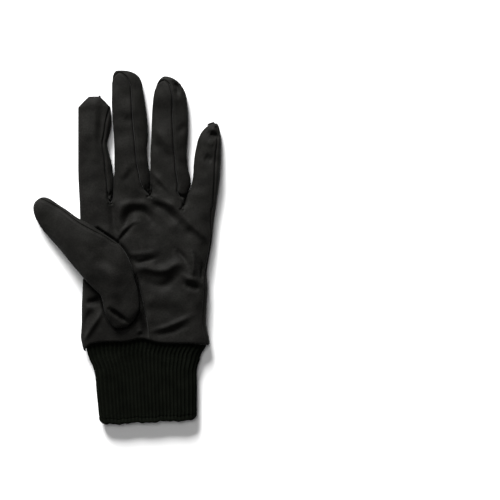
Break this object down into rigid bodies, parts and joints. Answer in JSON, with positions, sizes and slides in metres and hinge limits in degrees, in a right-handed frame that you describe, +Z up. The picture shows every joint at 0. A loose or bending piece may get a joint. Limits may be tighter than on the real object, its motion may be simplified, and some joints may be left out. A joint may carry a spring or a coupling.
{
  "type": "glove liner",
  "caption": "Stretch-knit glove liner for the left hand, lying palm up, with side strips between the fingers, a thumb pouch and a ribbed knit cuff.",
  "frame": {"origin": "bottom centre of the glove's box, on the surface it lies on", "axes": "+X from the index side to the little-finger side, +Y from the cuff to the fingertips, +Z up out of the palm"},
  "size_m": [0.1344, 0.2556, 0.0226],
  "materials": {
    "liner_knit": "fine polyester jersey knit with a slight sheen",
    "fourchette_knit": "fine polyester jersey knit with a slight sheen",
    "rib_knit": "matte one-by-one rib knit"
  },
  "bodies": {
    "root": {"palm": "liner_knit", "back": "liner_knit", "fourchette_index_middle": "fourchette_knit", "fourchette_middle_ring": "fourchette_knit", "fourchette_ring_little": "fourchette_knit", "thumb": "liner_knit", "cuff": "rib_knit"}
  },
  "joints": []
}
